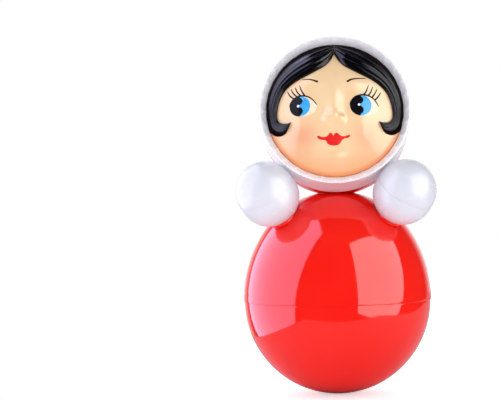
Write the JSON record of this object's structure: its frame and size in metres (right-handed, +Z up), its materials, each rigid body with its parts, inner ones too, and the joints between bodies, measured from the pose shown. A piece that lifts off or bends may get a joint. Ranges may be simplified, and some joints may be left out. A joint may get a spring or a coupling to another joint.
{
  "type": "roly poly toy",
  "caption": "Self-righting doll: weighted ball body, ball head in a fluted bonnet with a moulded face, ball hands, and a chime whose striker swings as the doll rocks.",
  "frame": {"origin": "lowest spot of the ball body, where it stands on the table", "axes": "+Z up through the head, -Y out of the face, +X to the right of someone who looks at the face"},
  "size_m": [0.1152, 0.11, 0.2076],
  "materials": {
    "red_plastic": "polished moulded plastic",
    "white_plastic": "polished moulded plastic",
    "face_paint": "painted and varnished plastic",
    "cast_iron": "raw casting",
    "steel": "bright zinc plate",
    "brass": "turned"
  },
  "bodies": {
    "doll": {"lower_body_shell": "red_plastic", "upper_body_shell": "red_plastic", "neck_collar": "red_plastic", "head_back_shell": "red_plastic", "bonnet_ring": "white_plastic", "hand_left_inner": "white_plastic", "hand_left_outer": "white_plastic", "hand_right_inner": "white_plastic", "hand_right_outer": "white_plastic", "face_mask": "face_paint", "ballast_weight": "cast_iron", "chime_base": "steel", "base_screws": "steel", "chime_rod_1": "steel", "chime_rod_2": "steel", "chime_rod_3": "steel", "chime_rod_4": "steel", "chime_arch": "steel", "arch_rivets": "steel", "neck_bolt": "steel", "neck_nut": "steel", "hand_left_retainer": "steel", "hand_right_retainer": "steel", "hanger_rivet": "brass"},
    "swing_link": {"swing_link": "brass", "striker_rivet": "brass"},
    "striker": {"striker": "brass"}
  },
  "joints": [
    {"name": "link_swing", "type": "hinge", "parent": "doll", "child": "swing_link", "pos_m": [0, 0, 0.06905], "axis": [1, 0, 0], "range_deg": [-7.5, 7.5]},
    {"name": "striker_swing", "type": "hinge", "parent": "swing_link", "child": "striker", "pos_m": [0, 0, 0.05905], "axis": [0, 1, 0], "range_deg": [-10.5, 10.5]}
  ]
}
